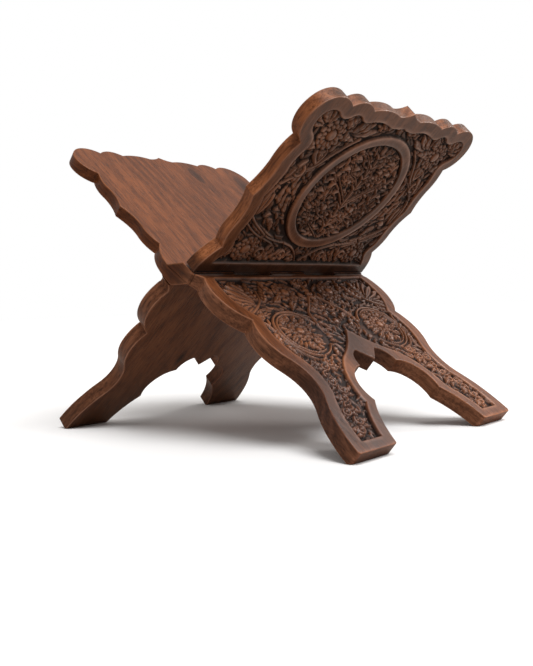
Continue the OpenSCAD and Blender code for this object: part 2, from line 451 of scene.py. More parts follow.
def carve_spandrel(half):
    """Flowers, leaves and stems around the medallion."""
    r, side = half.relief, half.side
    # big round-lobed leaf beside the medallion, and the long leaf below it
    half.fan((81, 63), 64, 30, 1.3, 6, 0.86)
    for u, s, aim, size in (
        (67, 92, 80, 6.5), (72.5, 84, 60, 6.5), (63, 82, 40, 6.5), (67, 73, 20, 6.5), (72, 66, 0, 6),
    ):
        a = half.angle(aim)
        back = toward(a) * size * 1.5
        tip = half.at((u, s))
        r.leaf(tip - back, tip, size, bend=0.16 * side, rise=1.0, tilt=0.3 * side, fat=2.4)
    half.leaf((78, 60), (46, 47), 6.5, 0.06, 0.95, 0.2, 6)
    half.leaf((66, 64), (55, 52), 5, -0.1, 0.85, 0.2, 4)
    # long fingers that follow the ring
    for k in range(15):
        a, reach = math.radians(-24 + 5.2 * k), 57.5 + 5.2 * (k % 3)
        b = a + math.radians(15)
        tip = (side * (reach + 2.5) * math.cos(b), MEDALLION_S + (reach + 2.5) * math.sin(b))
        root = (side * reach * math.cos(a), MEDALLION_S + reach * math.sin(a))
        r.leaf(root, tip, 4.4, -0.1 * side, 0.72 + 0.09 * (k % 3), 0.3, 3)
    # stems that hug the medallion
    branch = ((85, 60), (82, 84), (76, 98), (66, 106), (58, 113), (52, 121), (44, 130), (35, 138))
    half.stem(branch, 2.6)
    half.stem(((79, 94), (68, 103.5), (58, 110)), 1.8)
    half.stem(((86, 68), (76, 60), (66, 54), (52, 46.5), (38, 43), (28, 42)), 2.2)
    half.stem(((85, 60), (74, 53), (64, 48), (52, 44), (40, 39), (34, 31)), 1.7)
    # curled leaf and fingers above the branch
    half.scroll((77.5, 104), 75, 6.6, 1, 2.6, 1.0, 2.4)
    half.leaf((76, 100), (69, 116), 5.2, -0.08, 1.0, 0.3, 0, 0, 1.6)
    half.leaf((79, 97), (75, 109), 4.4, 0.08, 0.95, 0.3, 0, 0, 1.6)
    # leaves around the top flower
    half.leaf((68, 129), (85, 121.5), 8.5, 0.06, 0.95, 0.2, 4)
    half.leaf((63, 128), (61, 112.5), 12.5, 0.0, 1.0, 0.1, 0, 0, 0.9)
    half.leaf((63, 127), (61, 116), 6.5, 0.0, 1.0, 0.1, 3)
    for u, s, wide in ((25, 146.5, 5.6), (31, 152, 5.6), (39, 152.5, 5.8)):
        half.leaf((50, 139.5), (u, s), wide, 0.07, 1.0, 0.2 * side, 3, 0, 1.5)
    half.leaf((60, 140), (49.5, 156), 13.5, 0.05, 0.9, 0.1, 0, 3, 1.3)
    half.leaf((60, 140), (51, 153), 8.0, 0.05, 1.0, 0.1, 5, 0, 1.3)
    half.leaf((60, 137.5), (40.5, 135.5), 8.2, 0.0, 1.0, 0.2, 5, 3)
    # five-lobed leaf in the corner
    for u, s, wide in ((71, 155, 6.5), (92.5, 142, 6.5), (79, 158, 7.5), (93.5, 150, 7.5), (88, 157, 8.5)):
        half.leaf((77, 142.5), (u, s), wide, 0.02, 1.0, 0.2, 4, 0, 1.3)
    half.flower((65.2, 136), 12.2, 13)
    # bottom flower, its leaves and the button in the corner
    half.leaf((66, 34), (89, 24), 7, 0.1, 0.8, 0, 5)
    half.leaf((66, 38), (56, 49), 6, 0.1, 0.85, 0, 4)
    half.flower((64.8, 34.2), 12.0, 12, 1.0, 0.2)
    half.dome((81.5, 45.5), 3.0, 0.95, 0.2)
    half.leaf((84, 52), (78, 44), 4.0, 0.2, 0.9, 0.2)
    # leaves along the bottom, between scrolls
    for u, s, v, t, wide in (
        (52, 26, 41, 41, 6.5), (46, 23, 36, 38, 6.0), (40, 24, 27, 36, 5.6), (30, 23, 22, 37, 5.6),
        (24, 24, 15, 35, 5.0), (13, 23, 6, 36, 5.0),
    ):
        half.leaf((u, s), (v, t), wide, 0.12, 0.95, 0.2, 4, 3)
    half.scroll((47, 27), 150, 5.4, -1, 2.2)
    half.scroll((22, 26), 150, 5.0, -1, 2.0)
    half.stem(((30, 42), (18, 38), (8, 31), (2, 24)), 2.0)
    # scroll and leaves along the top
    half.scroll((22, 147.5), 60, 3.8, 1, 2.0)
    half.leaf((17, 148), (24, 155), 5.0, 0.1, 1.0, 0.2, 3)
    half.leaf((15, 148), (6, 154), 5.5, -0.12, 1.0, 0.2, 4)


def carve_medallion(half):
    """Branching stems with leaves and buds."""
    for line, size, gap in (
        (((1, 50), (10, 56), (20, 62), (29, 70), (37, 82)), 6.4, 5.0),
        (((1, 62), (9, 68), (19, 72), (27, 80), (27, 88)), 6.4, 5.0),
        (((1, 100), (8, 107), (16, 110), (22, 118)), 6.2, 5.0),
        (((1, 112), (6, 120), (14, 127), (20, 129)), 5.8, 4.8),
    ):
        half.spray(line, size, 2.6, gap, 1.1, 1.0)
    # crossing double stem
    half.stem(((1, 82), (10, 90), (20, 97.5), (30, 104), (38, 115)), 1.5, 1.0, 0.3)
    half.stem(((1, 85.5), (10, 93), (19, 100), (28, 107)), 1.2, 1.0, 0.3)
    rows = (
        (30, 104, 37, 101), (34, 109, 40, 107), (24, 101, 29, 95), (14, 94, 21, 90),
        (31, 106, 27, 113), (36, 113, 32, 119),
    )
    half.leaves(rows, 3.2, 0.14, 1.0, 0.3)
    # bright curled leaves and round buds
    rows = (
        (28, 110, 20, 113), (17, 110.5, 10, 114.5), (24, 120, 16, 122.5), (39, 90, 31, 92),
    )
    half.leaves(rows, 4.0, -0.34, 1.05, -0.3, fat=1.2)
    for u, s, size in ((16.5, 78, 3.1), (33, 77, 2.4), (8, 72, 2.2), (24.5, 66, 2.4), (12, 103, 2.2)):
        half.dome((u, s), size, 1.0, 0.15)
        for k in range(5):
            a = half.angle(30 + 72 * k)
            way = toward(a)
            root = half.at((u, s)) + way * size * 0.9
            half.relief.leaf(root, root + way * size * 1.1, size * 0.95, rise=0.9, fat=1.4)


def leaf_carving(us, ss, border_in):
    """Carving of a leaf's outer face. border_in is mm inside the field's edge at each node."""
    r = Relief(us, ss)
    rng = np.random.default_rng(11)
    halves = [Half(r, side) for side in (-1, 1)]

    def away(p):
        return np.hypot(p[0], p[1] - MEDALLION_S)

    def outside(p):
        return away(p) > MEDALLION_R + 2 and p[1] > 23

    def around(p):
        return math.atan2(p[1] - MEDALLION_S, p[0]) + math.pi / 2 * 0.8

    def inside(p):
        return away(p) < MEDALLION_IN - 1.5

    def swirl(p):
        return math.atan2(p[1] - 48, p[0] * 1.2) + 0.9 * math.sin(p[1] / 6 + p[0] / 5)

    spandrel = scatter(rng, (48, 92), (46, 72), 4.3, outside)
    fill(r, rng, spandrel, around, 9.5, 3.1, 0.58)

    for half in halves:
        carve_spandrel(half)
    r.leaf((0, 146.5), (0, 157), 6.5, 0, 1.0, 0, 4, 4)

    # medallion: leaves that fan out from its foot, then branching stems in front
    win, d = r.disc((0, MEDALLION_S), MEDALLION_R)
    r.stamp(win, MEDALLION_IN + 1 - d, np.zeros(d.shape), 0.5)
    for spacing, long, wide, rise in ((3.3, 7.5, 2.5, 0.62), (5.0, 7.5, 2.4, 0.95)):
        dense = scatter(rng, (23, 92), (23, 46), spacing, inside, 40)
        fill(r, rng, dense, swirl, long, wide, rise)
    for half in halves:
        carve_medallion(half)
    r.stem([(0, 56), (0, 72), (0, 95), (0, 118), (0, 133)], 1.6, 1.0, 0.3)
    for s in (60, 69, 78, 96, 106, 116, 125):
        for half in halves:
            half.leaf((0, s), (5.4, s + 4.6), 3.0, 0.1, 1.0, 0.2)
    r.leaf((0, 128), (0, 136.5), 4, 0, 1.0)

    r.h *= smooth(border_in / 1.3)
    d = np.hypot(r.u, r.s - MEDALLION_S)
    ring = np.minimum(MEDALLION_R - d, d - MEDALLION_IN)
    crown = 0.98 - 0.16 * smooth((MEDALLION_R - 1.5 - d) / 6.5)
    r.h = np.where(ring > 0, crown * smooth(ring / 0.7), r.h * smooth(-ring / 1.3))
    return r.h


TEAR_U, TEAR_S, TEAR_R = 49.5, 78.5, 23.0


def carve_leg(half, rng):
    r, side = half.relief, half.side
    # shell and leaves in the upper corner
    half.fan((66, 47), -35, 27, 1.5, 7, 1.0)
    half.fan((72, 50), 35, 15, 1.6, 5, 0.95)
    half.leaf((64, 46), (62, 24), 9, 0.1, 1.0, 0.3, 6, 5)
    half.leaf((62, 47), (50, 28), 8, -0.1, 1.0, 0.3, 6, 5)
    half.stem(((82, 58), (70, 51), (62, 44), (58, 34)), 2.2)
    # flower and leaves near the middle
    half.leaf((40, 38), (46, 22), 6, 0.1, 0.95, 0.2, 4)
    half.leaf((38, 40), (48, 46), 7, 0.1, 0.95, 0.2, 4, 4)
    half.leaf((24, 46), (36, 56), 7, -0.1, 0.95, 0.2, 4, 4)
    half.leaf((20, 46), (12, 58), 7, 0.1, 0.95, 0.2, 4, 4)
    half.flower((27, 36), 11.5, 11)
    half.scroll((8, 24), 80, 5.2, 1, 2.0)
    half.scroll((11, 52), 60, 5.0, 1, 2.0)
    # stems that carry the teardrop
    half.stem(((3, 40), (12, 50), (22, 60), (25, 72), (26, 84), (34, 98)), 2.2)
    half.stem(((84, 62), (76, 70), (74, 84), (68, 98), (58, 106)), 2.2)
    rows = (
        (79, 66, 72, 57), (77, 76, 79, 88), (76, 88, 74, 100), (20, 62, 11, 68),
        (22, 68, 14, 78), (26, 88, 20, 92), (30, 94, 34, 104),
    )
    half.leaves(rows, 4.4, 0.12, 0.95, 0.2, 3)
    # teardrop medallion: open double line around a flower among leaves
    centre = half.at((TEAR_U, TEAR_S))
    win = r.window([centre], TEAR_R + 6)
    du, ds = r.u[win] - centre[0], r.s[win] - centre[1]
    d = np.hypot(du * 0.95, ds * np.where(ds > 0, 0.9, 1.04))
    r.stamp(win, TEAR_R - d, np.full(d.shape, 0.14), 1.0)
    for k in range(13):
        a = math.tau * (k + 0.5 + rng.uniform(-0.35, 0.35)) / 13
        way = np.array([math.cos(a), math.sin(a) * 1.06])
        far = rng.uniform(15.5, 20)
        bend = rng.uniform(-0.1, 0.3)
        r.leaf(centre + way * 8.5, centre + way * far, rng.uniform(4.8, 7), bend, 0.9, 0.3, 4)
    for k in range(16):
        a = math.tau * (k + rng.uniform(-0.4, 0.4)) / 16
        way = np.array([math.cos(a), math.sin(a) * 1.06])
        near = rng.uniform(11, 14)
        r.leaf(centre + way * near, centre + way * (near + 6), 2.8, rng.uniform(-0.3, 0.3), 1.0)
    r.flower(centre + (0, -1), 10.4, 10, 1.0, 0.2)
    r.leaf(centre + (side * 3, 9), centre + (-side * 4, 18.5), 6.5, 0.1, 1.0, 0.2, 4, 3)
    r.leaf(centre + (-side * 7, -8), centre + (-side * 13, -15), 5.5, 0.1, 1.0, 0.2, 4)
    r.leaf(centre + (side * 8, -9), centre + (side * 12, -16), 5.5, -0.1, 1.0, 0.2, 4)
    for radius, wide, low, high in ((TEAR_R - 1.2, 0.95, 200, 505), (TEAR_R - 4.0, 0.75, 235, 480)):
        ring = []
        for degrees in range(low, high, 8):
            a = half.angle(degrees)
            stretch = 1.1 if math.sin(a) > 0 else 0.96
            ring.append(centre + radius * np.array([math.cos(a) * 1.05, math.sin(a) * stretch]))
        r.stem(ring, 2 * wide, 0.92, 0.35)
    # strip of leaves down the leg, swinging from side to side
    spine = ((48, 103), (56, 112), (65, 120), (64, 131), (68, 142), (75, 150), (76, 161), (80, 172))
    spine = half.line(spine)
    line = spline(spine)
    r.stem(spine, 2.0, 0.95)
    for n, i in enumerate(range(2, len(line) - 2, 4)):
        way = line[i] - line[i - 1]
        heading = math.atan2(way[1], way[0])
        turn = 1 if n % 2 else -1
        for spread_by, size, wide in ((1.25, 11, 6.4), (0.75, 13, 5.2), (0.3, 10, 3.4)):
            a = heading + turn * spread_by
            tip = line[i] + size * toward(a)
            r.leaf(line[i], tip, wide, -0.2 * turn, 1.0, 0.3 * turn, 4)
        r.scroll(line[i], heading - 1.1 * turn, 4.0, turn, 1.9, 1.0, 1.5)


def leg_carving(us, ss, border_in):
    """Carving of the legs' outer face."""
    r = Relief(us, ss)
    rng = np.random.default_rng(23)

    def everywhere(p):
        return True

    def fall(p):
        return math.radians(70) if p[1] > 104 else math.radians(100) + p[0] / 40

    spread = scatter(rng, (46, 98), (46, 82), 4.0, everywhere)
    fill(r, rng, spread, fall, 9.0, 3.0, 0.66)
    for side in (-1, 1):
        carve_leg(Half(r, side), rng)
    # knobs and leaves between the legs
    for u, s, size in ((0, 70, 3.4), (5, 62, 2.6), (-5, 62, 2.6), (0, 54, 2.6)):
        r.dome((u, s), size, 1.0)
    r.leaf((0, 50), (0, 26), 8, 0, 1.0, 0, 6, 5)
    r.h *= smooth(border_in / 1.2)
    return r.h


# ---- slabs
def box_blur(z, reach):
    """Mean over a square of 2 * reach + 1 nodes."""
    width = 2 * reach + 1
    padded = np.pad(z, reach, mode="edge")
    return np.lib.stride_tricks.sliding_window_view(padded, (width, width)).mean((2, 3))


def fillet(distance, radius):
    """How far a rounded arris drops the face at that distance from the edge."""
    inside = np.clip(radius - distance, 0, radius)
    return radius - np.sqrt(np.maximum(radius**2 - inside**2, 0))


def side_distance(uv, poly, distance):
    """Distance to the outline without its square-cut end, which keeps a sharp arris."""
    away = distance.copy()
    close = (uv[:, 1] < END_CUT + 6) & (np.abs(uv[:, 0]) < HINGE_HALF + 1)
    free = poly[poly[:, 1] > END_CUT + 0.01]
    ends = np.array([[HINGE_HALF, END_CUT], [-HINGE_HALF, END_CUT]])
    away[close] = point_distance(uv[close], np.vstack([free, ends]))
    return away


def uneven_arris(uv, cell, seed):
    return ARRIS * (1 + ARRIS_UNEVEN * soft_noise(uv, cell, seed))


def inner_rings(poly):
    """Points on lines that follow the outline a little inside it."""
    along = np.roll(poly, -1, axis=0) - np.roll(poly, 1, axis=0)
    along /= np.linalg.norm(along, axis=1)[:, None]
    inward = np.column_stack([-along[:, 1], along[:, 0]])
    found = []
    for offset in RING_OFFSETS:
        ring = poly + inward * offset
        ring = ring[is_inside(ring, poly) & (edge_distance(ring, poly) > offset - 0.03)]
        gap = np.linalg.norm(ring - np.roll(ring, 1, axis=0), axis=1)
        found.append(ring[gap > 0.2])
    return np.vstack(found)


def back_points(poly):
    """Wide grid of points for the flat back face."""
    us = np.arange(-98, 98.1, BACK_STEP)
    ss = np.arange(END_CUT + 3, poly[:, 1].max(), BACK_STEP)
    p = np.array([(u, s) for u in us for s in ss])
    return p[is_inside(p, poly) & (point_distance(p, poly) > BACK_MARGIN)]


def kept_grid(to_edge):
    """Cells well inside the outline, their quads of node numbers, and the rim around them."""
    near = to_edge > GRID_MARGIN
    cells = near[:-1, :-1] & near[1:, :-1] & near[:-1, 1:] & near[1:, 1:]
    index = np.arange(to_edge.size).reshape(to_edge.shape)
    ci, cj = np.nonzero(cells)
    quads = np.column_stack([index[ci + i, cj + j] for i, j in ((0, 0), (1, 0), (1, 1), (0, 1))])
    padded = np.pad(cells, 1)
    edges = []
    for i, j, quad in zip(ci, cj, quads):
        for k, (di, dj) in enumerate(((0, -1), (1, 0), (0, 1), (-1, 0))):
            if not padded[i + 1 + di, j + 1 + dj]:
                edges.append((quad[k], quad[(k + 1) % 4]))
    rim = sorted(set(k for pair in edges for k in pair))
    return cells, quads, edges, rim


def off_cells(points, cells, origin):
    """Whether each point lies outside the kept cells of the grid that starts at origin."""
    i, j = np.floor((points - origin) / GRID_STEP).astype(int).T
    rows, columns = cells.shape
    on_grid = (i >= 0) & (j >= 0) & (i < rows) & (j < columns)
    return ~(on_grid & cells[np.clip(i, 0, rows - 1), np.clip(j, 0, columns - 1)])


def band(poly, rings, rim_points=None, rim=(), edges=()):
    """Triangles over the outline, the rings and, where given, the rim of the kept grid."""
    n = len(poly)
    points = [poly, rings]
    lines = [(i, (i + 1) % n) for i in range(n)]
    if rim_points is not None:
        local = {k: n + len(rings) + i for i, k in enumerate(rim)}
        points.append(rim_points)
        lines += [(local[a], local[b]) for a, b in edges]
    points = np.vstack(points)
    out = delaunay_2d_cdt([Vector(p) for p in points], lines, [], 0, 1e-5, True)
    origin = [ids[0] if ids else -1 for ids in out[3]]
    if min(origin) < 0 or len(out[0]) != len(points):
        raise RuntimeError("the outline band has points that lie on each other")
    return points, np.array([[origin[k] for k in f] for f in out[2]])


class Slab:
    """Half of a board: a plate with a carved outer face, as points (u, s, h) and faces.

    The three point layers say how far a point lies in a hollow, on a crest and under the face. They carry
    painted shade in hollows and sunk carving, and a painted highlight, with wear, on crests and arrises.
    """

    def __init__(self, half, face, border, carve, seed):
        poly = closed_outline(half)
        us = np.arange(-104, 104 + GRID_STEP, GRID_STEP)
        ss = np.arange(END_CUT - 3 * GRID_STEP, poly[:, 1].max() + 2, GRID_STEP)
        gu, gs = np.meshgrid(us, ss, indexing="ij")
        shape = gu.shape
        nodes = np.column_stack([gu.ravel(), gs.ravel()])
        inside = is_inside(nodes, poly)
        to_edge = np.where(inside, point_distance(nodes, poly), -1.0)
        to_edge[(nodes[:, 1] < END_CUT + GRID_MARGIN) & inside] = 0.5

        border_in = border(nodes, to_edge).reshape(shape)
        rise = carve(us, ss, border_in)
        ground = GROUND_DEPTH * (1 + GROUND_UNEVEN * soft_noise(nodes, 3.1, seed).reshape(shape))
        sink = ground * smooth(border_in / 0.9) * (1 - rise)
        # hollows below the blurred surface and sunk carving get painted shade; crests above it get a
        # painted highlight along with wear
        mean = box_blur(box_blur(sink, BLUR_NODES), BLUR_NODES)
        cavity = np.clip((sink - mean) / CAVITY_DEPTH, 0, 1)
        wear_and_highlight = np.clip((mean - sink) / WEAR_AND_HIGHLIGHT_HEIGHT - 0.1, 0, 1)
        deep_shade = np.clip(sink / GROUND_DEPTH, 0, 1)

        # outer face: the kept grid, and a band from its rim to the outline
        cells, quads, edges, rim = kept_grid(to_edge.reshape(shape))
        rings = inner_rings(poly)
        flat, tris = band(poly, rings, nodes[rim], rim, edges)
        centres = flat[tris].mean(1)
        tris = tris[off_cells(centres, cells, (us[0], ss[0])) & is_inside(centres, poly)]
        used = np.unique(quads)
        remap = -np.ones(len(nodes), int)
        remap[used] = np.arange(len(used))
        n = len(poly)
        band_ids = np.concatenate([len(used) + np.arange(n + len(rings)), remap[rim]])
        uv = np.vstack([nodes[used], poly, rings])
        side = np.concatenate([to_edge[used], np.zeros(n), edge_distance(rings, poly)])
        trimmed = side_distance(uv, poly, side)
        sunk = np.concatenate([sink.ravel()[used], np.zeros(n + len(rings))])
        front = face(uv[:, 1]) - sunk - fillet(trimmed, uneven_arris(uv, 13, seed + 1))
        front -= FACE_UNEVEN * (1 + soft_noise(uv, 21, seed + 2)) * (trimmed > 0.2)

        # back face
        back_uv, back_tris = band(poly, np.vstack([rings, back_points(poly)]))
        back_tris = back_tris[is_inside(back_uv[back_tris].mean(1), poly)]
        back_side = np.concatenate([np.zeros(n), edge_distance(back_uv[n:], poly)])
        back_trim = side_distance(back_uv, poly, back_side)
        back = INNER + fillet(back_trim, uneven_arris(back_uv, 11, seed + 3))

        # side walls between the two outlines, with two rings that keep the arrises crisp
        upper = front[len(used) : len(used) + n] - WALL_RING
        lower = back[:n] + WALL_RING
        self.uv = np.vstack([uv, back_uv, poly, poly])
        self.h = np.concatenate([front, back, upper, lower])
        back_start, wall_start = len(uv), len(uv) + len(back_uv)
        self.faces = [remap[quads], band_ids[tris], back_tris[:, ::-1] + back_start]
        i = np.arange(n)
        j = (i + 1) % n
        starts = (back_start, wall_start + n, wall_start, len(used))
        for low, top in zip(starts, starts[1:]):
            self.faces.append(np.column_stack([low + i, low + j, top + j, top + i]))

        pad = np.zeros(len(self.uv) - len(used))
        self.cavity, self.wear_and_highlight, self.deep_shade = (
            np.concatenate([layer.ravel()[used], pad]) for layer in (cavity, wear_and_highlight, deep_shade)
        )
        # arrises get a painted highlight along with wear
        arris = np.concatenate([trimmed, back_trim, np.full(2 * n, ARRIS_HIGHLIGHT_REACH)])
        rounded = ARRIS_WEAR_AND_HIGHLIGHT * (1 - smooth(arris / ARRIS_HIGHLIGHT_REACH))
        self.wear_and_highlight = np.clip(self.wear_and_highlight + rounded, 0, 1)


def leaf_face(s):
    return np.full(len(s), OUTER)


def leg_face(s):
    """The legs are thicker than the leaves, and slope down to them at the hinge."""
    share = np.clip((s - END_CUT - 1) / (LEG_FIELD_TOP - END_CUT - 1), 0, 1)
    return OUTER + (LEG_FACE - OUTER) * share


def leaf_border(nodes, to_edge):
    """How far inside the carved field each node lies. The field has a point at the top."""
    u, s = nodes.T
    ridge = LEAF_BORDER + 1.2 * np.exp(-((u / 9) ** 2)) * (s > 120)
    return np.minimum(to_edge - ridge, s - LEAF_FIELD_FOOT)


def leg_border(nodes, to_edge):
    field = closed_outline(LEG_FIELD_HALF)
    distance = point_distance(nodes, field)
    return np.where(is_inside(nodes, field), distance, -distance)


# ---- placing boards
SA, CA = math.sin(HALF_ANGLE), math.cos(HALF_ANGLE)


def lean(across, y, up, mirrored):
    """A board's upright place to the row frame, in metres. mirrored is the right-leaf board."""
    x = across * CA - up * SA
    z = across * SA + up * CA + HINGE_HEIGHT
    return np.column_stack([-x if mirrored else x, y, z]) * MM


def put(name, data):
    thing = bpy.data.objects.new(name, data)
    bpy.context.scene.collection.objects.link(thing)
    return thing


def new_mesh(name, points, faces, plank, layers):
    mesh = bpy.data.meshes.new(name)
    mesh.from_pydata(points.tolist(), [], [f for group in faces for f in group.tolist()])
    mesh.update()
    vector = mesh.attributes.new("plank", "FLOAT_VECTOR", "POINT")
    vector.data.foreach_set("vector", (plank * MM).astype(np.float32).ravel())
    for key, values in layers.items():
        layer = mesh.attributes.new(key, "FLOAT", "POINT")
        layer.data.foreach_set("value", values.astype(np.float32))
    return put(name, mesh)


def seam_gap(uv, columns, gap, line):
    """Points with the end cut back where the other board's knuckles pass, and how near they are, which
    sets the seam's painted shade.

    line is how wide a line of painted shade the seam gets along the whole end.
    """
    column = np.clip(((uv[:, 0] + HINGE_HALF) / KNUCKLE_PITCH).astype(int), 0, KNUCKLES - 1)
    free = ~np.isin(column, columns)
    past = uv[:, 1] - END_CUT
    move = free & (past < SEAM_BLEND)
    out = uv.copy()
    out[move, 1] = END_CUT + gap + past[move] * (1 - gap / SEAM_BLEND)
    if line == 0:
        return out, np.zeros(len(uv))
    start = np.where(free, 0.4, line - SEAM_SHADE_SOFTNESS)
    return out, 1 - smooth((past - start) / SEAM_SHADE_SOFTNESS)


def place_slab(slab, name, legs, mirrored, columns):
    """A slab put in its place as a piece. Legs are cut off flat at the floor."""
    gap, line = SEAMS[legs, mirrored]
    uv, seam_shade = seam_gap(slab.uv, columns, gap, line)
    seam_shade = seam_shade * (slab.h > INNER + 1) * (np.abs(slab.uv[:, 0]) < HINGE_HALF - 1)
    across = slab.h if legs else -slab.h
    up = -uv[:, 1] if legs else uv[:, 1]
    points = lean(across, uv[:, 0], up, mirrored)
    plank = np.column_stack([uv[:, 0], up, across])
    faces = slab.faces if mirrored else [f[:, ::-1] for f in slab.faces]
    # painted shade in the seam: it joins the hollows' and the sunk ground's painted shade and takes the
    # highlight away
    layers = {
        "cavity": np.maximum(slab.cavity, seam_shade),
        "wear_and_highlight": slab.wear_and_highlight * (1 - seam_shade),
        "deep_shade": np.maximum(slab.deep_shade, 0.9 * seam_shade),
    }
    piece = new_mesh(name, points, faces, plank, layers)
    bm = bmesh.new()
    bm.from_mesh(piece.data)
    if legs:
        geom = [*bm.verts, *bm.edges, *bm.faces]
        bmesh.ops.bisect_plane(bm, geom=geom, plane_co=(0, 0, 0), plane_no=(0, 0, 1), clear_inner=True)
        bmesh.ops.holes_fill(bm, edges=[e for e in bm.edges if e.is_boundary], sides=0)
    for face in bm.faces:
        face.smooth = True
    for edge in bm.edges:
        if len(edge.link_faces) == 2 and edge.calc_face_angle(0) > math.radians(50):
            # sharp only around the floor cut and the square-cut end
            x, _, z = (edge.verts[0].co + edge.verts[1].co) / 2 / MM
            from_hinge = abs((x if mirrored else -x) * SA + (z - HINGE_HEIGHT) * CA)
            edge.smooth = z > FOOT_CREASE and abs(from_hinge - END_CUT) > 0.05
    bm.to_mesh(piece.data)
    bm.free()
    return piece


# seen along the hinge. An edge has the number of the corner where it starts.
KNUCKLE_SECTION = (
    (-OUTER, END_CUT), (-OUTER, 0), (INNER, -KNUCKLE_REACH), (INNER, -END_CUT),
    (OUTER, -END_CUT), (OUTER, 0), (-INNER, KNUCKLE_REACH), (-INNER, END_CUT),
)
CONTACT_EDGES = (3, 7)
FREE_CORNERS = (1, 2, 5, 6)
ROUNDED_CORNERS = (1, 5)
# shares of the full arris at the hinge's ends, between knuckles and on rounded corners
END_SHARE, JOINT_SHARE, CORNER_SHARE = 1.0, 0.35, 0.9


def knuckle(name, k, mirrored):
    """Knuckle k of a board, with rounded arrises except where it grows out of the board."""
    near = -HINGE_HALF + k * KNUCKLE_PITCH + (SIDE_GAP / 2 if k else 0)
    far = -HINGE_HALF + (k + 1) * KNUCKLE_PITCH - (SIDE_GAP / 2 if k < KNUCKLES - 1 else 0)
    n = len(KNUCKLE_SECTION)
    stations = (near, near + WORN_HIGHLIT_EDGE, far - WORN_HIGHLIT_EDGE, far)
    rings = len(stations)
    across, up = np.tile(np.array(KNUCKLE_SECTION, float).T, rings)
    y = np.repeat(stations, n)
    points = lean(across, y, up, mirrored)
    i = np.arange(n)
    j = (i + 1) % n
    faces = [np.column_stack([i, i + n, j + n, j]) + n * ring for ring in range(rings - 1)]
    faces.append(np.array([i, n * rings - 1 - i]))
    if not mirrored:
        faces = [f[:, ::-1] for f in faces]
    # free corners at the hinge's two ends get a painted highlight with wear; the cap inset below keeps it
    # to a thin edge
    worn_highlight = (np.abs(y) == HINGE_HALF) & np.isin(np.arange(len(y)) % n, FREE_CORNERS)
    none = np.zeros(len(y))
    layers = {"cavity": none, "wear_and_highlight": worn_highlight.astype(float), "deep_shade": none}
    piece = new_mesh(name, points, faces, np.column_stack([y, up, across]), layers)
    bm = bmesh.new()
    bm.from_mesh(piece.data)
    bmesh.ops.recalc_face_normals(bm, faces=bm.faces)
    bm.verts.ensure_lookup_table()
    weight = bm.edges.layers.float.new("bevel_weight_edge")
    wear_and_highlight = bm.verts.layers.float["wear_and_highlight"]
    last = n * (rings - 1)
    weights = {}
    for i in range(n):
        if i not in CONTACT_EDGES:
            j = (i + 1) % n
            weights[i, j] = JOINT_SHARE if k else END_SHARE
            weights[i + last, j + last] = JOINT_SHARE if k < KNUCKLES - 1 else END_SHARE
    for i in ROUNDED_CORNERS:
        for start in range(i, last, n):
            weights[start, start + n] = CORNER_SHARE
    for (a, b), share in weights.items():
        bm.edges.get((bm.verts[a], bm.verts[b]))[weight] = share
    caps = [face for face in bm.faces if len(face.verts) == n and any(v[wear_and_highlight] for v in face.verts)]
    bmesh.ops.inset_individual(bm, faces=caps, thickness=WORN_HIGHLIT_EDGE * MM)
    for cap in caps:
        for vert in cap.verts:
            vert[wear_and_highlight] = 0
    bm.to_mesh(piece.data)
    bm.free()
    bevel = piece.modifiers.new("bevel", "BEVEL")
    bevel.limit_method = "WEIGHT"
    bevel.width = ARRIS * MM
    bevel.segments = 4
    bevel.use_clamp_overlap = True
    graph = bpy.context.evaluated_depsgraph_get()
    graph.update()
    mesh = bpy.data.meshes.new_from_object(piece.evaluated_get(graph))
    piece.modifiers.clear()
    piece.data = mesh
    mesh.shade_smooth()
    mesh.set_sharp_from_angle(angle=math.radians(35))
    return piece


# ---- materials
class Field:
    """A node's output that sums and products can be written with."""

    def __init__(self, nodes, socket):
        self.nodes, self.socket = nodes, socket

    def __add__(self, other):
        return self.nodes.math("ADD", self, other)

    def __sub__(self, other):
        return self.nodes.math("SUBTRACT", self, other)

    def __rsub__(self, other):
        return self.nodes.math("SUBTRACT", other, self)

    def __mul__(self, other):
        return self.nodes.math("MULTIPLY", self, other)

    def __truediv__(self, other):
        return self.nodes.math("DIVIDE", self, other)

    def clamped(self):
        self.socket.node.use_clamp = True
        return self


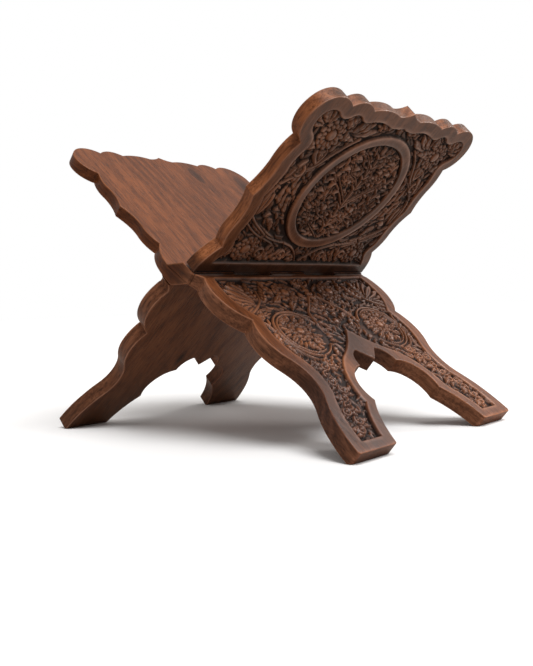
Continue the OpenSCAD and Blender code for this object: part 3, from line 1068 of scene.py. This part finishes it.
class Nodes:
    """Short way to write the node tree of a material or a world."""

    def __init__(self, owner):
        owner.use_nodes = True
        self.tree = owner.node_tree
        self.tree.nodes.clear()

    def add(self, kind, inputs=None, **settings):
        """New node. inputs holds a number, colour, vector, socket or Field for each named input."""
        node = self.tree.nodes.new("ShaderNode" + kind)
        for key, value in settings.items():
            setattr(node, key, value)
        for key, value in (inputs or {}).items():
            if isinstance(value, Field):
                value = value.socket
            if isinstance(value, bpy.types.NodeSocket):
                self.tree.links.new(value, node.inputs[key])
            else:
                node.inputs[key].default_value = value
        return node

    def math(self, operation, *values):
        node = self.add("Math", dict(enumerate(values)), operation=operation)
        return Field(self, node.outputs[0])

    def hypot(self, a, b):
        return self.math("SQRT", a * a + b * b)

    def attribute(self, name, output="Fac"):
        return Field(self, self.add("Attribute", attribute_name=name).outputs[output])

    def split(self, vector):
        return [Field(self, axis) for axis in self.add("SeparateXYZ", {0: vector}).outputs]

    def noise(self, vector, scale, detail=3.0, roughness=0.55, distortion=0.0):
        mapping = self.add("Mapping", {"Vector": vector, "Scale": scale})
        form = {"Detail": detail, "Roughness": roughness, "Distortion": distortion}
        node = self.add("TexNoise", {"Vector": mapping.outputs[0], "Scale": 1.0, **form})
        return Field(self, node.outputs["Fac"])

    def ramp(self, value, stops):
        node = self.add("ValToRGB", {0: value})
        elements = node.color_ramp.elements
        while len(elements) < len(stops):
            elements.new(0.5)
        for element, (place, colour) in zip(elements, stops):
            element.position = place
            element.color = (*colour, 1)
        return Field(self, node.outputs[0])

    def grade(self, value, low, high):
        """0 at low, 1 at high."""
        inputs = {"Value": value, "From Min": low, "From Max": high}
        node = self.add("MapRange", inputs, interpolation_type="SMOOTHSTEP")
        return Field(self, node.outputs[0])

    def mix(self, share, a, b, blend="MIX"):
        """Colour a, changed to b or multiplied by it as far as share says."""
        a, b = (value if isinstance(value, Field) else (*value, 1) for value in (a, b))
        node = self.add("Mix", {0: share, 6: a, 7: b}, data_type="RGBA", blend_type=blend)
        return Field(self, node.outputs[2])


# how many features of each noise lie on a metre across, along and through the plank
BENDS = (16, 3.2, 16)
PATCHES = (14, 5, 14)
STREAKS = (70, 5, 70)
FIBRES = (620, 55, 620)
PORES = (1100, 130, 1100)
# patchiness of the painted highlight with wear
RUB_AND_HIGHLIGHT_PATCHES = (160, 60, 160)
# blotches of the carved ground's stain and painted shade
STAIN_AND_SHADE_BLOTS = (34, 26, 34)
SATIN_BLOTS = (60, 40, 60)
DENTS = (240, 120, 240)

RING_WAVES = 900
RING_BEND = 0.055
KNOT_LENGTH = 2.4
KNOT_BEND = 0.012
# pale tint of the painted highlight with wear
WORN_HIGHLIGHT_TINT = (1.7, 2.05, 2.7)


def scaled(colour, share):
    return tuple(share * x for x in colour)


def wood(name, dark, middle, light, pith, knots, shift, wall_light_and_shade_tints, light_shade_and_tint_patches):
    """Satin brown hardwood. The plank attribute runs across, along and through the board.

    knots are (across, along, size). The wall tints, one for the leaf and one for the legs, multiply the
    colour of side walls that face along the hinge: painted light where above 1, painted shade where below.
    The soft patches are (across, along, their two reaches, tint); they multiply the colour, some as
    painted light or painted shade, some as plain tints.
    """
    material = bpy.data.materials.new(name)
    n = Nodes(material)
    plank = n.attribute("plank", "Vector")
    place = n.add("VectorMath", {0: plank, 1: shift}, operation="ADD").outputs[0]
    across, along, through = n.split(plank)

    # growth rings around a pith that lies outside the board, bent by slow noise and knots
    bent = n.hypot(across - pith[0], through - pith[1])
    bent = bent + n.noise(place, BENDS, 2.0, 0.5) * RING_BEND
    in_knot = None
    for u, s, size in knots:
        mask = n.grade(n.hypot((across - u) / size, (along - s) / (size * KNOT_LENGTH)), 1.0, 0.1)
        bent = bent + mask * KNOT_BEND
        in_knot = n.math("MAXIMUM", in_knot, mask) if in_knot else mask
    rings = n.math("SINE", bent * RING_WAVES) * 0.5 + 0.5
    fibre = n.noise(place, FIBRES, 4.0, 0.65, 0.3)
    streak = n.noise(place, STREAKS, 3.0, 0.6, 0.4)
    pores = n.grade(n.noise(place, PORES, 2.0, 0.5), 0.57, 0.68)
    patches = n.noise(place, PATCHES, 3.0, 0.6)
    tone = rings * 0.12 + fibre * 0.76 + streak * 0.14 + patches * 0.38
    colour = n.ramp(tone, [(0.48, dark), (0.67, middle), (0.86, light)])
    colour = n.mix(pores * 0.55, colour, scaled(dark, 0.4))
    colour = n.mix(in_knot * 0.9, colour, scaled(dark, 0.45))

    # side walls tinted with painted light and shade; crests and arrises lightened with wear and a painted
    # highlight; hollows and carved ground darkened with painted shade and some stain and grime
    normal = n.split(n.add("NewGeometry").outputs["Normal"])
    # walls that face along the hinge: tinted below with painted light or painted shade
    side = n.grade(n.math("ABSOLUTE", normal[1]), 0.15, 0.6)
    on_leaf = n.grade(along, -0.012, 0.004)
    for part, tint in zip((on_leaf, 1.0 - on_leaf), wall_light_and_shade_tints):
        colour = n.mix(side * part, colour, tint, "MULTIPLY")
    cavity, deep_shade, wear_and_highlight = (n.attribute(key) for key in ("cavity", "deep_shade", "wear_and_highlight"))
    # crests and arrises drawn toward a pale tint: wear and a painted highlight
    rubbed_and_highlit = wear_and_highlight * (n.grade(n.noise(place, RUB_AND_HIGHLIGHT_PATCHES), 0.3, 0.7) * 0.4 + 0.6)
    worn_highlight = tuple(tint * x for tint, x in zip(WORN_HIGHLIGHT_TINT, light))
    colour = n.mix(rubbed_and_highlit * 0.95, colour, worn_highlight)
    # hollows and the lowest carving darkened: painted shade, with some grime
    grime_and_shade = (cavity * 0.95 + n.grade(deep_shade, 0.42, 1.0) * 0.75).clamped()
    # sunk carving darkened in blotches: stain and painted shade
    ground_stain_and_shade = n.grade(deep_shade, 0.02, 0.2) * n.grade(n.noise(place, STAIN_AND_SHADE_BLOTS, 2.0, 0.5), 0.3, 0.62)
    colour = n.mix(ground_stain_and_shade * 0.65, colour, dark)
    colour = n.mix(grime_and_shade, colour, scaled(dark, 0.3))
    # soft patches multiply the colour: painted light, painted shade or plain tint
    for u, s, reach_u, reach_s, tint in light_shade_and_tint_patches:
        away = n.hypot((across - u) / reach_u, (along - s) / reach_s)
        colour = n.mix(n.grade(away, 1.0, 0.35), colour, tint, "MULTIPLY")

    rough = n.noise(place, SATIN_BLOTS, 3.0, 0.6) * 0.26 + 0.22 + grime_and_shade * 0.3 + fibre * 0.06
    relief = fibre * 0.5 - pores * 0.8 + n.noise(place, DENTS, 3.0, 0.5) * 0.5
    bump = n.add("Bump", {"Height": relief, "Strength": 0.45, "Distance": 0.00025})
    satin = {
        "Base Color": colour,
        "Roughness": rough.clamped(),
        "Normal": bump.outputs[0],
        "Specular IOR Level": 0.38 - side * 0.26,
        "Coat Weight": rubbed_and_highlit * 0.45 + 0.05,
        "Coat Roughness": 0.24,
    }
    n.add("OutputMaterial", {0: n.add("BsdfPrincipled", satin).outputs[0]})
    return material


def pale_floor():
    """White to the camera, and less bright where it lights the stand from below."""
    material = bpy.data.materials.new("pale_floor")
    n = Nodes(material)
    path = n.add("LightPath").outputs["Is Camera Ray"]
    colour = n.mix(path, (0.42, 0.38, 0.35), (0.9, 0.9, 0.9))
    n.add("OutputMaterial", {0: n.add("BsdfDiffuse", {"Color": colour}).outputs[0]})
    return material


# ---- building
leaf_slab = Slab(LEAF_HALF, leaf_face, leaf_border, leaf_carving, 3)
leg_slab = Slab(LEG_HALF, leg_face, leg_border, leg_carving, 7)

wood_left = wood(
    "wood_left",
    (0.060, 0.0180, 0.0060),
    (0.132, 0.0400, 0.0130),
    (0.228, 0.0740, 0.0255),
    (0.045, -0.16),
    [(0.028, 0.142, 0.009), (0.083, 0.128, 0.016), (-0.012, 0.052, 0.005)],
    (0.0, 0.0, 0.0),
    # wall tints: painted shade on the leaf's walls, painted light on the legs' walls
    ((0.75, 0.74, 0.76), (1.25, 1.6, 2.4)),
    [
        # darker patch on the near leg
        (-0.076, -0.150, 0.045, 0.068, (0.45, 0.44, 0.5)),
        # darker patch between the teardrops, by the pendant
        (-0.015, -0.075, 0.04, 0.04, (0.6, 0.59, 0.63)),
        # yellower, less grey tint over the leaf
        (0.0, 0.1, 0.2, 0.145, (0.97, 0.9, 0.78)),
        # painted shade on the border round the pendant
        (0.0, -0.104, 0.042, 0.03, (0.5, 0.5, 0.55)),
        # painted shade on the hinge end
        (-0.101, 0.0, 0.005, 0.017, (0.72, 0.68, 0.6)),
        # painted light on the feet's end faces
        (0.0, -0.1845, 0.5, 0.0036, (1.7, 1.8, 2.0)),
    ],
)
wood_right = wood(
    "wood_right",
    (0.050, 0.0175, 0.007),
    (0.122, 0.045, 0.0195),
    (0.200, 0.080, 0.037),
    (-0.05, 0.17),
    [(-0.03, -0.1, 0.005)],
    (1.3, 0.7, 2.1),
    # wall tints: painted light on the leaf's walls, painted shade on the legs' walls
    ((1.75, 1.58, 1.33), (0.85, 0.85, 0.9)),
    # lighter patch on the legs, and painted shade on the leaf's strip next to the seam
    [(0.0, -0.06, 0.16, 0.12, (1.55, 1.5, 1.45)), (0.0, 0.014, 0.5, 0.013, (0.28, 0.27, 0.27))],
)

BOARDS = (
    ("left", False, "left_board", "left_leaf_board", "wood_left", wood_left, (0, 2, 4)),
    ("right", True, "right_board", "right_leaf_board", "wood_right", wood_right, (1, 3)),
)
for side, mirrored, body, node, slot, material, columns in BOARDS:
    pieces = [
        place_slab(leaf_slab, f"{side}_leaf_carved", False, mirrored, columns),
        place_slab(leg_slab, f"{side}_legs_carved", True, mirrored, columns),
    ]
    pieces += [knuckle(f"{side}_knuckle_{k + 1}", k, mirrored) for k in columns]
    for piece in pieces:
        piece.data.materials.append(material)
        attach(piece, body)
        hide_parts(node)

# ---- stage
bm = bmesh.new()
bmesh.ops.create_circle(bm, cap_ends=True, segments=96, radius=6.0)
floor_mesh = bpy.data.meshes.new("floor")
bm.to_mesh(floor_mesh)
bm.free()
floor = put("floor", floor_mesh)
floor.location.z = -FLOOR_DROP * MM
floor_mesh.materials.append(pale_floor())

WARM_WHITE = (1.0, 0.96, 0.93)
MIDDLE = (0, 0, 0.11)
world = bpy.data.worlds.new("studio")
bpy.context.scene.world = world
n = Nodes(world)
lit = n.add("Background", {"Color": (*WARM_WHITE, 1), "Strength": 0.45})
seen = n.add("Background", {"Color": (1, 1, 1, 1), "Strength": 1.0})
path = n.add("LightPath").outputs["Is Camera Ray"]
blend = n.add("MixShader", {0: path, 1: lit.outputs[0], 2: seen.outputs[0]})
n.add("OutputWorld", {0: blend.outputs[0]})


def light(name, kind, location, target, energy):
    """New light at location, turned to target."""
    data = bpy.data.lights.new(name, kind)
    data.energy = energy
    lamp = put(name, data)
    lamp.location = location
    direction = Vector(target) - Vector(location)
    lamp.rotation_euler = direction.to_track_quat("-Z", "Y").to_euler()
    return data


sky = light("sky", "SUN", (0.5, -0.12, 1.0), (0, 0, 0), 2.9)
sky.angle = math.radians(42)
back = light("back", "AREA", (0.9, 1.9, 1.75), MIDDLE, 13)
back.shape = "DISK"
back.size = 0.8
back.color = WARM_WHITE

bpy.context.scene.view_settings.view_transform = "Standard"

camera_data = bpy.data.cameras.new("camera")
camera_data.lens = 44.37
camera_data.sensor_width = 36
camera = put("camera", camera_data)
RIGHT = (0.75623, 0.65332, -0.03607)
UP = (0.000576, 0.054464, 0.998516)
BACK = (0.65431, -0.75512, 0.04081)
turn = Matrix((RIGHT, UP, BACK)).transposed()
camera.matrix_world = Matrix.Translation((0.41678, -0.48998, 0.09811)) @ turn.to_4x4()
bpy.context.scene.camera = camera
